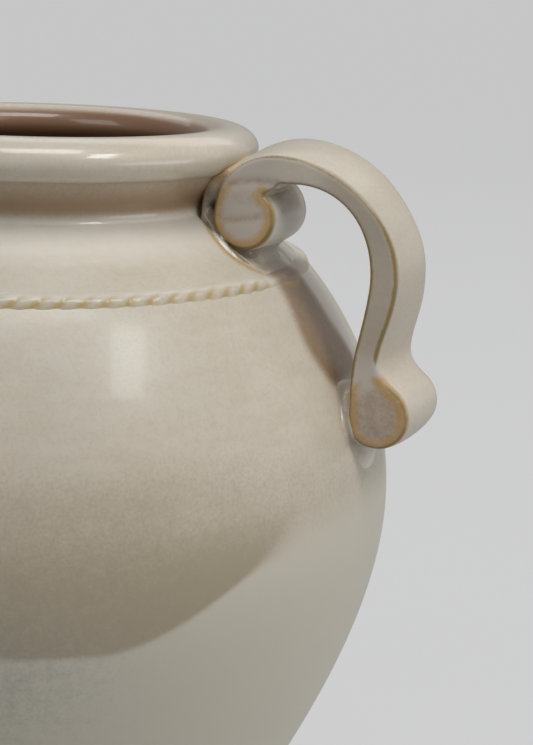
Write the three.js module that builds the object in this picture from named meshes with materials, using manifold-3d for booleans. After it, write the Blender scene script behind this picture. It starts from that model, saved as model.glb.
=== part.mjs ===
// A two-handled stoneware storage jar, about 300 mm tall, in millimetres with +Z up.
// The origin is the centre of the foot on the surface that the jar stands on.
// The thrown belly, the thrown shoulder, the collar, the tooled band, the foot,
// the two strap handles and the clay that lutes them on are separate solids.
import * as THREE from 'three';
import { mergeVertices } from 'three/addons/utils/BufferGeometryUtils.js';
import Module from 'manifold-3d';

const wasm = await Module();
wasm.setup();

// Fits and resolution
const CLEARANCE = 0.3;
const TURNS = 48;
const CURVE_STEPS = 8;
const CORNER_STEPS = 4;
const CROWN_STEPS = 3;
const MERGE_DISTANCE = 1e-3;
const HALVINGS = 30;

// Foot
const FOOT_RADIUS = 61;
const FOOT_HEIGHT = 8;
const FOOT_WIDTH = 10;
const FOOT_CHAMFER = 1.5;

// Belly, from the foot up to the lute joint under the tooled band
const WALL = 7.5;
const FLOOR = 9;
const BELLY_RADIUS = 130;
const BELLY_RISE = 162;
const BELLY_LOWER_BOW = 50;
const BELLY_UPPER_BOW = 36;
const FLARE_RUN = 31;
const FLARE_RISE = 52;
const JOIN_SETBACK = 32.2;
const JOIN_RISE = 82;
const JOIN_LEAN_RUN = 14.7;
const JOIN_LEAN_RISE = 16;
const BELLY_JOIN_WALL = 9.8;

// Shoulder and neck
const SHOULDER_RUN = 29.3;
const SHOULDER_RISE = 20.2;
const SHOULDER_JOIN_WALL = 12;
const SHOULDER_LOW_PULL = [0.35, 0.36];
const SHOULDER_HIGH_PULL = [0.22, 0.17];
const GROOVE_RISE = 5.4;
const GROOVE_DEPTH = 1.2;
const UNDERCUT_RUN = 6;
const UNDERCUT_RISE = 8;

// Collar rolled round the mouth
const COLLAR_OVERHANG = 4.5;
const COLLAR_THICKNESS = 21;
const COLLAR_HEIGHT = 13.7;
const COLLAR_SEAT_ANGLE = THREE.MathUtils.degToRad(53);

// Tooled band
const BAND_WIDTH = 6;
const BAND_HEIGHT = 2.2;
const BAND_TICKS = 86;
const BAND_TICK_DEPTH = 0.6;
const BAND_TICK_SLANT = 0.9;
const BAND_STEPS_PER_TICK = 3;
const BAND_SECTION_STEPS = 6;

// Strap handle: the sizes of its thick middle, which thins by the crown towards both edges
const STRAP_WIDTH = 31;
const STRAP_THICKNESS = 11;
const STRAP_CROWN = 1.5;
const STRAP_CROWN_SPAN = 9;
const STRAP_REACH_RUN = 42.3;
const STRAP_REACH_RISE = 4;
const STRAP_TOP_RUN = 18;
const STRAP_TOP_RISE = 11.4;
const TOP_SCROLL_RADIUS = 11.4;
const TOP_SCROLL_SEAT = 0.56;
const TOP_SCROLL_PRESS = 1.2;
const LOW_SCROLL_RADIUS = 11.7;
const LOW_SCROLL_SEAT = 0.388;
const SCROLL_NOTCH = 1.6;
const TOP_SCROLL_WRAP = THREE.MathUtils.degToRad(32);
const LOW_SCROLL_WRAP = THREE.MathUtils.degToRad(80);

// How long the strap's curves keep their direction at each end, as shares of their run or height
const INNER_START = 0.16;
const INNER_TOP_PULL = 0.48;
const INNER_SIDE_PULL = 0.42;
const INNER_DOWN_PULL = 0.4;
const INNER_FOOT_PULL = 0.18;
const OUTER_FOOT_PULL = 0.28;
const OUTER_DOWN_PULL = 0.4;
const OUTER_SIDE_PULL = 0.5;
const OUTER_TOP_PULL = 0.52;
const OUTER_CURL_PULL = 0.5;

// Luting clay
const LUTE_THICKNESS = 3.2;
const LUTE_MARGIN = 3.5;
const LUTE_CORNER = 6;
const UPPER_LUTE_REACH = 7;
const LOWER_LUTE_REACH = 15;
const LUTE_ROOT = 1.9;

// Where the sizes above put each line of the jar
const BELLY_HEIGHT = FOOT_HEIGHT + BELLY_RISE;
const JOIN_RADIUS = BELLY_RADIUS - JOIN_SETBACK;
const JOIN_HEIGHT = BELLY_HEIGHT + JOIN_RISE;
const NECK_RADIUS = JOIN_RADIUS - SHOULDER_RUN;
const NECK_HEIGHT = JOIN_HEIGHT + SHOULDER_RISE;
const NECK_BORE = NECK_RADIUS - WALL;
const COLLAR_SEAT_RADIUS = NECK_RADIUS + UNDERCUT_RUN;
const COLLAR_SEAT_HEIGHT = NECK_HEIGHT + GROOVE_RISE + UNDERCUT_RISE;
const COLLAR_RADIUS = COLLAR_SEAT_RADIUS + COLLAR_OVERHANG;
const STRAP_REACH = JOIN_RADIUS + STRAP_REACH_RUN;
const STRAP_REACH_HEIGHT = JOIN_HEIGHT + STRAP_REACH_RISE;
const STRAP_TOP_RADIUS = COLLAR_RADIUS + STRAP_TOP_RUN;
const STRAP_TOP_HEIGHT = COLLAR_SEAT_HEIGHT + STRAP_TOP_RISE;

// Glaze and clay colours
const finish = (color, roughness) => new THREE.MeshStandardMaterial({ color, roughness, metalness: 0 });

const v2 = (x, y) => new THREE.Vector2(x, y);

// Turns a three.js geometry into one closed indexed mesh with no collapsed faces
function closedMesh(geometry) {
  const bare = geometry.index ? geometry.toNonIndexed() : geometry.clone();
  bare.deleteAttribute('normal');
  bare.deleteAttribute('uv');
  const merged = mergeVertices(bare, MERGE_DISTANCE);
  const index = merged.index.array;
  const kept = [];
  for (let i = 0; i < index.length; i += 3) {
    const [a, b, c] = [index[i], index[i + 1], index[i + 2]];
    if (a !== b && b !== c && c !== a) kept.push(a, b, c);
  }
  merged.setIndex(kept);
  return merged;
}

// Makes a solid and turns it outside out if its outline ran the other way
function toSolid(geometry) {
  const mesh = closedMesh(geometry);
  const vertProperties = new Float32Array(mesh.attributes.position.array);
  let triVerts = new Uint32Array(mesh.index.array);
  let volume = 0;
  const corner = (i) => new THREE.Vector3().fromArray(vertProperties, 3 * i);
  for (let i = 0; i < triVerts.length; i += 3) {
    const [a, b, c] = [corner(triVerts[i]), corner(triVerts[i + 1]), corner(triVerts[i + 2])];
    volume += a.dot(b.cross(c));
  }
  if (volume < 0) triVerts = triVerts.map((_, i, all) => all[3 * Math.floor(i / 3) + 2 - (i % 3)]);
  return new wasm.Manifold(new wasm.Mesh({ numProp: 3, vertProperties, triVerts }));
}

function toGeometry(solid) {
  const mesh = solid.getMesh();
  const geometry = new THREE.BufferGeometry();
  geometry.setAttribute('position', new THREE.BufferAttribute(new Float32Array(mesh.vertProperties), 3));
  geometry.setIndex(new THREE.BufferAttribute(new Uint32Array(mesh.triVerts), 1));
  geometry.computeVertexNormals();
  return geometry;
}

// A closed outline of (radius, height) points turned round the jar's axis
function turned(outline) {
  const geometry = new THREE.LatheGeometry(outline, TURNS);
  geometry.rotateX(Math.PI / 2);
  return toSolid(geometry);
}

function closeOutline(points) {
  const first = points[0];
  const last = points[points.length - 1];
  const onAxis = first.x === 0 && last.x === 0;
  return onAxis ? points : [...points, first.clone()];
}

// The same curve moved sideways by a distance, to the left of its direction
function offsetCurve(points, distance) {
  return points.map((point, i) => {
    const before = points[Math.max(i - 1, 0)];
    const after = points[Math.min(i + 1, points.length - 1)];
    const along = after.clone().sub(before).normalize();
    return v2(point.x - along.y * distance, point.y + along.x * distance);
  });
}

// Outer curves of the belly, from the foot to the widest line and on to the join
const lowerBelly = new THREE.CubicBezierCurve(
  v2(FOOT_RADIUS, FOOT_HEIGHT),
  v2(FOOT_RADIUS + FLARE_RUN, FOOT_HEIGHT + FLARE_RISE),
  v2(BELLY_RADIUS, BELLY_HEIGHT - BELLY_LOWER_BOW),
  v2(BELLY_RADIUS, BELLY_HEIGHT),
);
const upperBelly = new THREE.CubicBezierCurve(
  v2(BELLY_RADIUS, BELLY_HEIGHT),
  v2(BELLY_RADIUS, BELLY_HEIGHT + BELLY_UPPER_BOW),
  v2(JOIN_RADIUS + JOIN_LEAN_RUN, JOIN_HEIGHT - JOIN_LEAN_RISE),
  v2(JOIN_RADIUS, JOIN_HEIGHT),
);

function bellyOutline(grow = 0) {
  const outer = [...lowerBelly.getPoints(CURVE_STEPS), ...upperBelly.getPoints(CURVE_STEPS).slice(1)];
  return grow ? offsetCurve(outer, -grow) : outer;
}

function makeBelly() {
  const outer = bellyOutline();
  const floorTop = FOOT_HEIGHT + FLOOR;
  const inner = offsetCurve(outer, WALL).filter((p) => p.y > floorTop + WALL && p.y < JOIN_HEIGHT - WALL / 4);
  const innerTop = v2(JOIN_RADIUS - BELLY_JOIN_WALL, JOIN_HEIGHT);
  const floorEdge = v2(FOOT_RADIUS - WALL / 2, floorTop);
  return turned([
    v2(0, FOOT_HEIGHT), ...outer, innerTop, ...inner.reverse(), floorEdge, v2(0, floorTop),
  ]);
}

// The foot is a turned ring with softened edges
function makeFoot() {
  const top = FOOT_HEIGHT - CLEARANCE;
  const inside = FOOT_RADIUS - FOOT_WIDTH;
  return turned(closeOutline([
    v2(inside + FOOT_CHAMFER, 0), v2(FOOT_RADIUS - FOOT_CHAMFER, 0), v2(FOOT_RADIUS, FOOT_CHAMFER),
    v2(FOOT_RADIUS, top), v2(inside, top), v2(inside, FOOT_CHAMFER),
  ]));
}

// Outer curve of the shoulder, from the join up to the groove of the neck; each pull is a share
// of the shoulder's run and rise for which the curve keeps its direction at that end
const [lowRun, lowRise] = SHOULDER_LOW_PULL;
const [highRun, highRise] = SHOULDER_HIGH_PULL;
const shoulderCurve = new THREE.CubicBezierCurve(
  v2(JOIN_RADIUS, JOIN_HEIGHT + CLEARANCE),
  v2(JOIN_RADIUS - SHOULDER_RUN * lowRun, JOIN_HEIGHT + SHOULDER_RISE * lowRise),
  v2(NECK_RADIUS + SHOULDER_RUN * highRun, NECK_HEIGHT - SHOULDER_RISE * highRise),
  v2(NECK_RADIUS, NECK_HEIGHT),
);

// The groove round the neck and the wall that leans out again under the collar
function grooveOutline() {
  const neck = new THREE.Path();
  neck.moveTo(NECK_RADIUS, NECK_HEIGHT);
  neck.quadraticCurveTo(NECK_RADIUS - GROOVE_DEPTH, NECK_HEIGHT + GROOVE_RISE / 2,
    NECK_RADIUS, NECK_HEIGHT + GROOVE_RISE);
  neck.lineTo(COLLAR_SEAT_RADIUS, COLLAR_SEAT_HEIGHT);
  return neck.getPoints(CORNER_STEPS);
}

function shoulderOutline() {
  return [...shoulderCurve.getPoints(CURVE_STEPS), ...grooveOutline().slice(1)];
}

function makeShoulder() {
  const bore = new THREE.Path();
  bore.moveTo(NECK_BORE, COLLAR_SEAT_HEIGHT);
  bore.lineTo(NECK_BORE, NECK_HEIGHT);
  bore.bezierCurveTo(NECK_BORE, NECK_HEIGHT - WALL, NECK_BORE + WALL, NECK_HEIGHT - SHOULDER_JOIN_WALL,
    JOIN_RADIUS - SHOULDER_JOIN_WALL, JOIN_HEIGHT + CLEARANCE);
  return turned(closeOutline([...shoulderOutline(), ...bore.getPoints(CURVE_STEPS)]));
}

// The collar is a fat roll with a flat underside on the neck
function collarOutline(grow = 0) {
  const path = new THREE.Path();
  const from = -COLLAR_SEAT_ANGLE;
  const to = Math.PI + COLLAR_SEAT_ANGLE;
  const half = COLLAR_HEIGHT / (1 + Math.sin(COLLAR_SEAT_ANGLE));
  const middle = COLLAR_SEAT_HEIGHT + CLEARANCE + half * Math.sin(COLLAR_SEAT_ANGLE);
  path.absellipse(COLLAR_RADIUS - COLLAR_THICKNESS / 2, middle,
    COLLAR_THICKNESS / 2 + grow, half + grow, from, to, false, 0);
  return path.getPoints(CURVE_STEPS);
}

// The tooled band follows the shoulder's lower edge, with slanted nicks all round
function makeBand() {
  const edge = shoulderOutline();
  const slope = edge[1].clone().sub(edge[0]).normalize();
  const outward = v2(slope.y, -slope.x);
  const base = edge[0].clone().addScaledVector(outward, CLEARANCE);
  const steps = BAND_TICKS * BAND_STEPS_PER_TICK;
  const ring = BAND_SECTION_STEPS + 1;
  const positions = [];
  const index = [];
  for (let i = 0; i < steps; i += 1) {
    for (let j = 0; j < ring; j += 1) {
      const share = j / BAND_SECTION_STEPS;
      const arch = Math.sin(Math.PI * share);
      const phase = (i / BAND_STEPS_PER_TICK) - BAND_TICK_SLANT * share;
      const nick = BAND_TICK_DEPTH * arch * (0.5 + 0.5 * Math.cos(2 * Math.PI * phase));
      const point = base.clone().addScaledVector(slope, BAND_WIDTH * (1 - Math.cos(Math.PI * share)) / 2)
        .addScaledVector(outward, BAND_HEIGHT * arch - nick);
      const turn = (2 * Math.PI * i) / steps;
      positions.push(point.x * Math.cos(turn), point.x * Math.sin(turn), point.y);
      const next = (i + 1) % steps;
      const k = (j + 1) % ring;
      index.push(i * ring + j, next * ring + j, next * ring + k);
      index.push(i * ring + j, next * ring + k, i * ring + k);
    }
  }
  const geometry = new THREE.BufferGeometry();
  geometry.setAttribute('position', new THREE.Float32BufferAttribute(positions, 3));
  geometry.setIndex(index);
  return toSolid(geometry);
}

// A scroll sits with its side against the wall, at a share of the wall's curve
function scrollOn(curve, share, reach) {
  const seat = curve.getPoint(share);
  const along = curve.getTangent(share);
  return v2(seat.x + along.y * reach, seat.y - along.x * reach);
}

const topScroll = scrollOn(shoulderCurve, TOP_SCROLL_SEAT, TOP_SCROLL_RADIUS - TOP_SCROLL_PRESS);
const lowScroll = scrollOn(upperBelly, LOW_SCROLL_SEAT, LOW_SCROLL_RADIUS);

// Side outline of a handle: a strap bowed out, rolled under at the top and out at the foot
function handleShape() {
  const shape = new THREE.Shape();
  const inner = STRAP_REACH - STRAP_THICKNESS;
  const under = STRAP_TOP_HEIGHT - STRAP_THICKNESS;
  const topLeft = topScroll.x - TOP_SCROLL_RADIUS;
  const lowLeft = lowScroll.x - LOW_SCROLL_RADIUS;
  const lowTop = lowScroll.y + LOW_SCROLL_RADIUS;
  const rise = STRAP_TOP_HEIGHT - STRAP_REACH_HEIGHT;
  const run = STRAP_REACH - STRAP_TOP_RADIUS;
  const drop = STRAP_REACH_HEIGHT - lowTop;
  shape.moveTo(topScroll.x + TOP_SCROLL_RADIUS, under - SCROLL_NOTCH);
  shape.quadraticCurveTo(topScroll.x + TOP_SCROLL_RADIUS, under, STRAP_TOP_RADIUS + run * INNER_START, under);
  shape.bezierCurveTo(STRAP_TOP_RADIUS + run * INNER_TOP_PULL, under,
    inner, STRAP_REACH_HEIGHT + rise * INNER_SIDE_PULL, inner, STRAP_REACH_HEIGHT);
  shape.bezierCurveTo(inner, STRAP_REACH_HEIGHT - drop * INNER_DOWN_PULL,
    lowLeft, lowTop + drop * INNER_FOOT_PULL, lowLeft, lowScroll.y);
  shape.absarc(lowScroll.x, lowScroll.y, LOW_SCROLL_RADIUS, Math.PI, 2 * Math.PI + LOW_SCROLL_WRAP, false);
  shape.lineTo(lowScroll.x, lowTop + SCROLL_NOTCH);
  shape.bezierCurveTo(lowScroll.x, lowTop + drop * OUTER_FOOT_PULL,
    STRAP_REACH, STRAP_REACH_HEIGHT - drop * OUTER_DOWN_PULL, STRAP_REACH, STRAP_REACH_HEIGHT);
  shape.bezierCurveTo(STRAP_REACH, STRAP_REACH_HEIGHT + rise * OUTER_SIDE_PULL,
    STRAP_TOP_RADIUS + run * OUTER_TOP_PULL, STRAP_TOP_HEIGHT, STRAP_TOP_RADIUS, STRAP_TOP_HEIGHT);
  shape.bezierCurveTo(topScroll.x, STRAP_TOP_HEIGHT,
    topLeft, STRAP_TOP_HEIGHT - TOP_SCROLL_RADIUS * OUTER_CURL_PULL, topLeft, topScroll.y);
  shape.absarc(topScroll.x, topScroll.y, TOP_SCROLL_RADIUS, Math.PI, 2 * Math.PI + TOP_SCROLL_WRAP, false);
  shape.closePath();
  return shape;
}

// The strap before it is fitted, or the room that it needs when grown
function strapRoom(grow = 0) {
  const depth = STRAP_WIDTH - 2 * STRAP_CROWN_SPAN + 2 * grow;
  const geometry = new THREE.ExtrudeGeometry(handleShape(), {
    depth,
    curveSegments: CURVE_STEPS,
    bevelEnabled: true,
    bevelThickness: STRAP_CROWN_SPAN,
    bevelSize: STRAP_CROWN,
    bevelOffset: grow - STRAP_CROWN,
    bevelSegments: CROWN_STEPS,
  });
  geometry.translate(0, 0, -depth / 2);
  geometry.rotateX(Math.PI / 2);
  return toSolid(geometry);
}

// A strap of clay, pared to sit on the shoulder, under the collar and on the belly
function makeHandle() {
  return largest(strapRoom().subtract(wallRoom()));
}

// Everything the jar's thrown wall fills, grown by the clearance, to fit clay against
function wallRoom() {
  const shoulder = offsetCurve(shoulderOutline(), -CLEARANCE);
  const lowReach = shoulder[0].x;
  const topReach = shoulder[shoulder.length - 1].x;
  const topHeight = COLLAR_SEAT_HEIGHT + CLEARANCE;
  const upper = turned([
    v2(0, JOIN_HEIGHT - WALL), v2(lowReach, JOIN_HEIGHT - WALL), ...shoulder,
    v2(topReach, topHeight), v2(0, topHeight),
  ]);
  const lower = turned([v2(0, FOOT_HEIGHT), ...bellyOutline(CLEARANCE), v2(0, JOIN_HEIGHT + CLEARANCE)]);
  const collar = turned(closeOutline(collarOutline(CLEARANCE)));
  return lower.add(upper).add(collar);
}

// The part of a wall's curve between two heights, in even steps
function wallBetween(curve, low, high) {
  const shareAt = (height) => {
    let [below, above] = [0, 1];
    for (let i = 0; i < HALVINGS; i += 1) {
      const middle = (below + above) / 2;
      if (curve.getPoint(middle).y < height) below = middle;
      else above = middle;
    }
    return below;
  };
  const start = shareAt(low);
  const step = (shareAt(high) - start) / CURVE_STEPS;
  return Array.from({ length: CURVE_STEPS + 1 }, (_, i) => curve.getPoint(start + step * i));
}

// A pad of clay that follows a stretch of the wall and thins out at its ends
function padOutline(wall, thinStart, thinEnd) {
  const last = wall.length - 1;
  const face = wall.map((_, i) => {
    const fromStart = thinStart ? Math.sin((Math.PI / 2) * Math.min(1, (2 * i) / last)) : 1;
    const fromEnd = thinEnd ? Math.sin((Math.PI / 2) * Math.min(1, (2 * (last - i)) / last)) : 1;
    return offsetCurve(wall, -Math.max(2 * CLEARANCE, LUTE_THICKNESS * Math.min(fromStart, fromEnd)))[i];
  });
  return closeOutline([...offsetCurve(wall, LUTE_ROOT), ...face.reverse()]);
}

// A block with rounded corners, square to the wall, that trims a pad to the strap's width
function padBlock(low, high) {
  const half = STRAP_WIDTH / 2 + LUTE_MARGIN;
  const shape = new THREE.Shape();
  shape.moveTo(LUTE_CORNER - half, low);
  shape.absarc(half - LUTE_CORNER, low + LUTE_CORNER, LUTE_CORNER, -Math.PI / 2, 0, false);
  shape.absarc(half - LUTE_CORNER, high - LUTE_CORNER, LUTE_CORNER, 0, Math.PI / 2, false);
  shape.absarc(LUTE_CORNER - half, high - LUTE_CORNER, LUTE_CORNER, Math.PI / 2, Math.PI, false);
  shape.absarc(LUTE_CORNER - half, low + LUTE_CORNER, LUTE_CORNER, Math.PI, Math.PI * 1.5, false);
  const geometry = new THREE.ExtrudeGeometry(shape, {
    depth: BELLY_RADIUS, curveSegments: CORNER_STEPS, bevelEnabled: false,
  });
  const turnToWall = new THREE.Matrix4().makeBasis(
    new THREE.Vector3(0, 1, 0), new THREE.Vector3(0, 0, 1), new THREE.Vector3(1, 0, 0));
  geometry.applyMatrix4(turnToWall);
  geometry.translate(WALL, 0, 0);
  return toSolid(geometry);
}

// Clay packed round the upper scroll, on the shoulder and up the neck
function makeUpperLute() {
  const low = shoulderCurve.getPoint(TOP_SCROLL_SEAT).y - UPPER_LUTE_REACH;
  const wall = [...wallBetween(shoulderCurve, low, NECK_HEIGHT), ...grooveOutline().slice(1)];
  const pad = turned(padOutline(wall, true, false));
  const block = padBlock(low - LUTE_THICKNESS, COLLAR_SEAT_HEIGHT + LUTE_THICKNESS);
  return largest(pad.intersect(block).subtract(wallRoom()).subtract(strapRoom(CLEARANCE)));
}

// Clay packed round the lower scroll, on the belly
function makeLowerLute() {
  const seat = upperBelly.getPoint(LOW_SCROLL_SEAT).y;
  const [low, high] = [seat - LOWER_LUTE_REACH, seat + LOWER_LUTE_REACH];
  const pad = turned(padOutline(wallBetween(upperBelly, low, high), true, true));
  return largest(pad.intersect(padBlock(low, high)).subtract(wallRoom()).subtract(strapRoom(CLEARANCE)));
}

// The main lump that is left after cutting
function largest(solid) {
  return solid.decompose().reduce((a, b) => (b.volume() > a.volume() ? b : a));
}

const group = new THREE.Group();

function addPiece(name, solid, material, turn = 0) {
  const mesh = new THREE.Mesh(toGeometry(solid), material);
  mesh.name = name;
  mesh.rotation.z = turn;
  group.add(mesh);
}

addPiece('foot_ring', makeFoot(), finish(0xa98a68, 0.85));
addPiece('belly', makeBelly(), finish(0xb3aa98, 0.32));
addPiece('neck_shoulder', makeShoulder(), finish(0xcbc5b2, 0.3));
addPiece('rim_collar', turned(closeOutline(collarOutline())), finish(0xc5c2b4, 0.3));
addPiece('tooled_band', makeBand(), finish(0xb08a5a, 0.35));
const sides = { right: 0, left: Math.PI };
for (const [side, turn] of Object.entries(sides)) {
  addPiece(`handle_${side}`, makeHandle(), finish(0xbdb3a0, 0.32), turn);
  addPiece(`upper_lute_${side}`, makeUpperLute(), finish(0x8d8a86, 0.28), turn);
  addPiece(`lower_lute_${side}`, makeLowerLute(), finish(0x9a8f7e, 0.28), turn);
}

export default group;
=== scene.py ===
# %% [markdown]
# # A two-handled stoneware jar
# The jar was thrown in two sections, luted at the shoulder, given a rolled collar and two strap
# handles, and glazed in cream. The measured model is loaded first and nothing in it moves: every
# piece made below takes its place from it.

# %% Load the measured model
import math
from collections import namedtuple

import bpy
import numpy as np
from mathutils import Matrix, Quaternion, Vector


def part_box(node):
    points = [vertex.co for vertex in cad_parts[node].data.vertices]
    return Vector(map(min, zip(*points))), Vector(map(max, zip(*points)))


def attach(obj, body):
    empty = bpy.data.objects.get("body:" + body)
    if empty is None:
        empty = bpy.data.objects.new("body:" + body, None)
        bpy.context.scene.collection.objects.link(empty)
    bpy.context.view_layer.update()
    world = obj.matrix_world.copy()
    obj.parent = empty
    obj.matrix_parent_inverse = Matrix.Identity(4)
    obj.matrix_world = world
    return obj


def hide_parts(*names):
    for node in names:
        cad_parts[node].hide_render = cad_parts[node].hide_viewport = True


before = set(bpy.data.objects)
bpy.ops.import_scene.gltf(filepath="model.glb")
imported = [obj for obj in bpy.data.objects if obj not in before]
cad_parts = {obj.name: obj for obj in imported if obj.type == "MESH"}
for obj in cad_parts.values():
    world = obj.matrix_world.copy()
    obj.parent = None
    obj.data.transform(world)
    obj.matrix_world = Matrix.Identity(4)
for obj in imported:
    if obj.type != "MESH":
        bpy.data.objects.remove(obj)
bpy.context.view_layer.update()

# %% [markdown]
# ## Measures shared by the pieces
# A potter keeps the profile of a jar as a rib or a template. Here the template is a few curves that
# start from the boxes of the measured pieces, so the fine skins lie where the solids are.

# %% Measures
MM = 0.001
belly_low, belly_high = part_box("belly")
shoulder_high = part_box("neck_shoulder")[1]
collar_low, collar_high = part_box("rim_collar")
strap_low, strap_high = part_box("handle_right")
foot_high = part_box("foot_ring")[1]

FOOT_RADIUS, FOOT_HEIGHT = foot_high.x, belly_low.z
BELLY_RADIUS, BELLY_HEIGHT = belly_high.x, 170 * MM
JOIN_RADIUS, JOIN_HEIGHT = shoulder_high.x, belly_high.z
NECK_RADIUS, NECK_HEIGHT = 68.5 * MM, 272.2 * MM
SEAT_RADIUS, SEAT_HEIGHT = 74.5 * MM, shoulder_high.z
COLLAR_RADIUS, COLLAR_HALF = collar_high.x, 10.5 * MM
WALL = 7.5 * MM
BORE = NECK_RADIUS - WALL


def bezier(a, b, c, d, steps):
    """Points of a cubic curve, the way a flexible rib bends between two ends."""
    t = np.linspace(0, 1, steps + 1)[:, None]
    a, b, c, d = (np.array(p, float) for p in (a, b, c, d))
    return a * (1 - t) ** 3 + 3 * b * t * (1 - t) ** 2 + 3 * c * t * t * (1 - t) + d * t**3


def drawn(start, start_pull, end, end_pull, steps):
    """A curve between two places, with how far it is pulled as it leaves each of them."""
    start, end = np.array(start, float), np.array(end, float)
    return bezier(start, start + start_pull, end + end_pull, end, steps)


def arc(centre, radius, start, end, steps):
    """Points of a round stretch, between two angles in radians."""
    turn = np.linspace(start, end, steps + 1)
    return np.stack([centre[0] + radius * np.cos(turn), centre[1] + radius * np.sin(turn)], 1)


def sideways(points, distance):
    """The same curve moved to the left of its direction."""
    along = np.gradient(points, axis=0)
    along /= np.linalg.norm(along, axis=1)[:, None]
    return points + distance * np.stack([-along[:, 1], along[:, 0]], 1)


def span(start, end):
    """A stretch between two places in mm, over which something begins or fades."""
    return start * MM, end * MM


def ease(value, low, high):
    """0 before low, 1 after high and an easy slope between; low may be the larger one."""
    share = np.clip((value - low) / (high - low), 0, 1)
    return share * share * (3 - 2 * share)


# %% [markdown]
# ## The profile of the jar
# The wall of a thrown jar is one line turned round: belly, shoulder, a groove at the neck and the
# undercut below the collar. Each stretch is a curve that is pulled at its two ends, so the line
# stays smooth where a list of measured points would show dents.

# %% The profile of the jar
FOOT_PULL = (31 * MM, 52 * MM)
WIDEST_LOW_PULL, WIDEST_HIGH_PULL = (0, -50 * MM), (0, 36 * MM)
JOIN_LOW_PULL, JOIN_HIGH_PULL = (14.7 * MM, -16 * MM), (-10.3 * MM, 7.3 * MM)
NECK_LOW_PULL, NECK_HIGH_PULL = (6.4 * MM, -3.4 * MM), (-1.1 * MM, 1.6 * MM)
GROOVE_LOW_PULL, GROOVE_HIGH_PULL = (-1.7 * MM, -2.2 * MM), (1.6 * MM, 2.1 * MM)
SEAT_PULL = (-1.2 * MM, -2.2 * MM)
ROLL_SLANT = math.radians(53)

foot_corner, widest = (FOOT_RADIUS, FOOT_HEIGHT), (BELLY_RADIUS, BELLY_HEIGHT)
join, neck_line = (JOIN_RADIUS, JOIN_HEIGHT), (NECK_RADIUS, NECK_HEIGHT)
groove_top = (NECK_RADIUS + 0.8 * MM, NECK_HEIGHT + 6.6 * MM)
collar_seat = (SEAT_RADIUS, SEAT_HEIGHT + 0.6 * MM)
lower_curve = drawn(foot_corner, FOOT_PULL, widest, WIDEST_LOW_PULL, 90)
upper_curve = drawn(widest, WIDEST_HIGH_PULL, join, JOIN_LOW_PULL, 110)
shoulder_curve = drawn(join, JOIN_HIGH_PULL, neck_line, NECK_LOW_PULL, 50)
groove_curve = drawn(neck_line, NECK_HIGH_PULL, groove_top, GROOVE_LOW_PULL, 14)
undercut_curve = drawn(groove_top, GROOVE_HIGH_PULL, collar_seat, SEAT_PULL, 12)
roll_half = (collar_high.z - collar_low.z) / (1 + math.sin(ROLL_SLANT))
roll_middle = collar_high.z - roll_half
roll_turn = np.linspace(-ROLL_SLANT, math.pi + ROLL_SLANT, 64)
roll_curve = np.stack([COLLAR_RADIUS - COLLAR_HALF + COLLAR_HALF * np.cos(roll_turn),
                       roll_middle + roll_half * np.sin(roll_turn)], 1)
belly_curve = np.vstack([lower_curve, upper_curve[1:]])
neck_curve = np.vstack([shoulder_curve, groove_curve[1:], undercut_curve[1:]])
print("points down the profile:", len(belly_curve) + len(neck_curve) + len(roll_curve))

# %% [markdown]
# ## Distance as a modelling tool
# Soft clay has no sharp inner corners: a handle that is luted on grows out of the wall in a fillet.
# Booleans and bevels struggle with that, so here each form is written as a distance: below zero in
# the clay and above zero outside it. Two distances blend into a fillet with one line of arithmetic,
# and the same numbers later tell the glaze where it pools and where it breaks.

# %% Distance to an outline
def distance_to(outline, low, high, cell=0.4 * MM):
    """A function of two coordinates that gives the distance to a closed outline."""
    across = np.arange(low[0], high[0] + cell, cell)
    upward = np.arange(low[1], high[1] + cell, cell)
    u, v = np.meshgrid(across, upward, indexing="ij")
    nearest = np.full(u.shape, np.inf)
    inside = np.zeros(u.shape, bool)
    for (au, av), (bu, bv) in zip(outline, np.roll(outline, -1, axis=0)):
        length = (bu - au) ** 2 + (bv - av) ** 2
        if length == 0:
            continue
        share = np.clip(((u - au) * (bu - au) + (v - av) * (bv - av)) / length, 0, 1)
        gap = (u - au - share * (bu - au)) ** 2 + (v - av - share * (bv - av)) ** 2
        nearest = np.minimum(nearest, gap)
        if av != bv:
            crossing = au + (v - av) / (bv - av) * (bu - au)
            inside ^= ((v < av) != (v < bv)) & (u < crossing)
    sheet = np.where(inside, -1, 1) * np.sqrt(nearest)

    def read(a, b):
        """The distance at any place, between the four nearest values of the sheet."""
        i = np.clip((a - low[0]) / cell, 0, len(across) - 1.001)
        j = np.clip((b - low[1]) / cell, 0, len(upward) - 1.001)
        m, n = i.astype(int), j.astype(int)
        i, j = i - m, j - n
        return ((sheet[m, n] * (1 - i) + sheet[m + 1, n] * i) * (1 - j)
                + (sheet[m, n + 1] * (1 - i) + sheet[m + 1, n + 1] * i) * j)

    return read


def blended(a, b, reach):
    """Two distances joined with a fillet, and how deep the fillet is at each point."""
    depth = reach * (np.maximum(reach - np.abs(a - b), 0) / reach) ** 2 / 4
    return np.minimum(a, b) - depth, depth


PROFILE_LOW, PROFILE_HIGH = (30 * MM, 0), (165 * MM, 310 * MM)
body_outline = np.vstack([[(0, FOOT_HEIGHT)], belly_curve, neck_curve[1:], [(0, SEAT_HEIGHT)]])
body_distance = distance_to(body_outline, PROFILE_LOW, PROFILE_HIGH)
roll_distance = distance_to(roll_curve, PROFILE_LOW, PROFILE_HIGH)


def wall_distance(x, y, z):
    """Distance to the thrown jar: belly, shoulder, neck and collar together."""
    radius = np.hypot(x, y)
    return np.minimum(body_distance(radius, z), roll_distance(radius, z))


# %% [markdown]
# ## The handle's side view
# A strap is pulled from a carrot of clay, bowed over, and both ends are rolled: the top end under,
# the bottom end out. Its side view is one closed outline of arcs and easy curves.

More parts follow.
